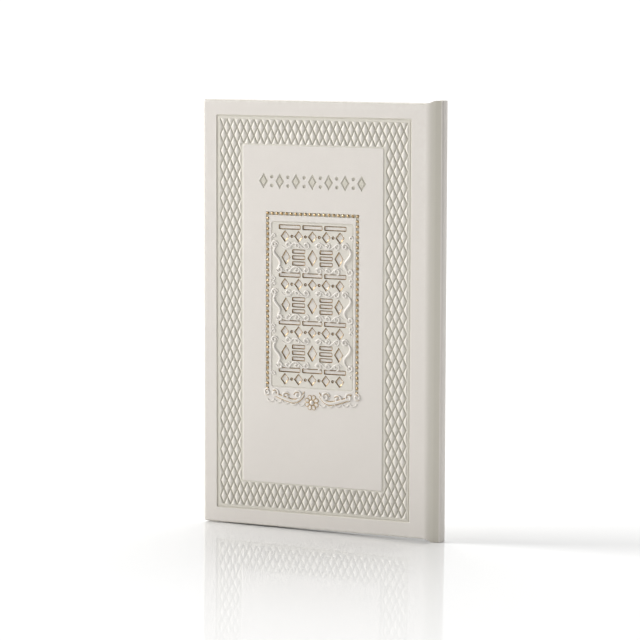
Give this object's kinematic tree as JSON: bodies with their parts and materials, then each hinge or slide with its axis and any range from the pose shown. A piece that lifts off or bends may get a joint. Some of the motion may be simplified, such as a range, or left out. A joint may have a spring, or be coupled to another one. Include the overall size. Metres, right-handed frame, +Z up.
{
  "type": "prayer book",
  "caption": "Slim hardback prayer book in cream leatherette with a tooled lozenge border and a gilt panel; covers and leaves open on hinges.",
  "frame": {"origin": "middle of the footprint, level with the foot of the spine, book standing closed on its tail", "axes": "+Z up along the spine to the head; front cover faces -Y; fore-edge at -X and spine at +X, as on a book read from right to left"},
  "size_m": [0.1022, 0.007, 0.1702],
  "materials": {
    "leatherette": "embossed cream-white leatherette with a soft satin sheen",
    "greyboard": "dense grey bookbinding board",
    "liner_card": "flexible card strip",
    "endpaper": "uncoated ivory endpaper",
    "leaf_paper": "smooth off-white book paper",
    "gilt_foil": "hot-stamped matt gold foil",
    "glue": "set bookbinding glue",
    "gauze": "open-weave cotton gauze",
    "thread": "waxed linen thread"
  },
  "bodies": {
    "spine": {"spine_skin": "leatherette", "spine_liner": "liner_card", "spine_glue": "glue", "spine_gauze": "gauze", "sewing_thread": "thread"},
    "front_cover": {"front_board": "greyboard", "front_cover_skin": "leatherette", "front_joint": "leatherette", "front_pastedown": "endpaper", "gilt_bead_frame": "gilt_foil", "gilt_panel_ornament": "gilt_foil", "gilt_crest": "gilt_foil"},
    "back_cover": {"back_board": "greyboard", "back_cover_skin": "leatherette", "back_joint": "leatherette", "back_pastedown": "endpaper"},
    "front_flyleaf": {"front_flyleaf": "endpaper"},
    "back_flyleaf": {"back_flyleaf": "endpaper"},
    "leaf_1": {"leaf_1": "leaf_paper"},
    "leaf_2": {"leaf_2": "leaf_paper"},
    "leaf_3": {"leaf_3": "leaf_paper"},
    "leaf_4": {"leaf_4": "leaf_paper"},
    "leaf_5": {"leaf_5": "leaf_paper"},
    "leaf_6": {"leaf_6": "leaf_paper"},
    "leaf_7": {"leaf_7": "leaf_paper"},
    "leaf_8": {"leaf_8": "leaf_paper"}
  },
  "joints": [
    {"name": "front_cover_hinge", "type": "hinge", "parent": "spine", "child": "front_cover", "pos_m": [0.0501, -0.0023, 0.0851], "axis": [0, 0, 1], "range_deg": [0, 170]},
    {"name": "back_cover_hinge", "type": "hinge", "parent": "spine", "child": "back_cover", "pos_m": [0.0501, 0.0023, 0.0851], "axis": [0, 0, -1], "range_deg": [0, 170]},
    {"name": "front_flyleaf_turn", "type": "hinge", "parent": "spine", "child": "front_flyleaf", "pos_m": [0.0481, -0.00072, 0.0851], "axis": [0, 0, 1], "range_deg": [0, 122.9]},
    {"name": "leaf_1_turn", "type": "hinge", "parent": "spine", "child": "leaf_1", "pos_m": [0.0478, -0.00056, 0.0851], "axis": [0, 0, 1], "range_deg": [0, 105.9]},
    {"name": "leaf_2_turn", "type": "hinge", "parent": "spine", "child": "leaf_2", "pos_m": [0.0475, -0.0004, 0.0851], "axis": [0, 0, 1], "range_deg": [0, 88.9]},
    {"name": "leaf_3_turn", "type": "hinge", "parent": "spine", "child": "leaf_3", "pos_m": [0.0472, -0.00024, 0.0851], "axis": [0, 0, 1], "range_deg": [0, 71.9]},
    {"name": "leaf_4_turn", "type": "hinge", "parent": "spine", "child": "leaf_4", "pos_m": [0.0469, -0.00008, 0.0851], "axis": [0, 0, 1], "range_deg": [0, 54.9]},
    {"name": "back_flyleaf_turn", "type": "hinge", "parent": "spine", "child": "back_flyleaf", "pos_m": [0.0481, 0.00072, 0.0851], "axis": [0, 0, -1], "range_deg": [0, 122.9]},
    {"name": "leaf_8_turn", "type": "hinge", "parent": "spine", "child": "leaf_8", "pos_m": [0.0478, 0.00056, 0.0851], "axis": [0, 0, -1], "range_deg": [0, 105.9]},
    {"name": "leaf_7_turn", "type": "hinge", "parent": "spine", "child": "leaf_7", "pos_m": [0.0475, 0.0004, 0.0851], "axis": [0, 0, -1], "range_deg": [0, 88.9]},
    {"name": "leaf_6_turn", "type": "hinge", "parent": "spine", "child": "leaf_6", "pos_m": [0.0472, 0.00024, 0.0851], "axis": [0, 0, -1], "range_deg": [0, 71.9]},
    {"name": "leaf_5_turn", "type": "hinge", "parent": "spine", "child": "leaf_5", "pos_m": [0.0469, 0.00008, 0.0851], "axis": [0, 0, -1], "range_deg": [0, 54.9]}
  ],
  "couplings": [
    {"joint": "front_flyleaf_turn", "follows": "front_cover_hinge", "ratio": 0.72},
    {"joint": "leaf_1_turn", "follows": "front_cover_hinge", "ratio": 0.62},
    {"joint": "leaf_2_turn", "follows": "front_cover_hinge", "ratio": 0.52},
    {"joint": "leaf_3_turn", "follows": "front_cover_hinge", "ratio": 0.42},
    {"joint": "leaf_4_turn", "follows": "front_cover_hinge", "ratio": 0.32},
    {"joint": "back_flyleaf_turn", "follows": "back_cover_hinge", "ratio": 0.72},
    {"joint": "leaf_8_turn", "follows": "back_cover_hinge", "ratio": 0.62},
    {"joint": "leaf_7_turn", "follows": "back_cover_hinge", "ratio": 0.52},
    {"joint": "leaf_6_turn", "follows": "back_cover_hinge", "ratio": 0.42},
    {"joint": "leaf_5_turn", "follows": "back_cover_hinge", "ratio": 0.32}
  ]
}
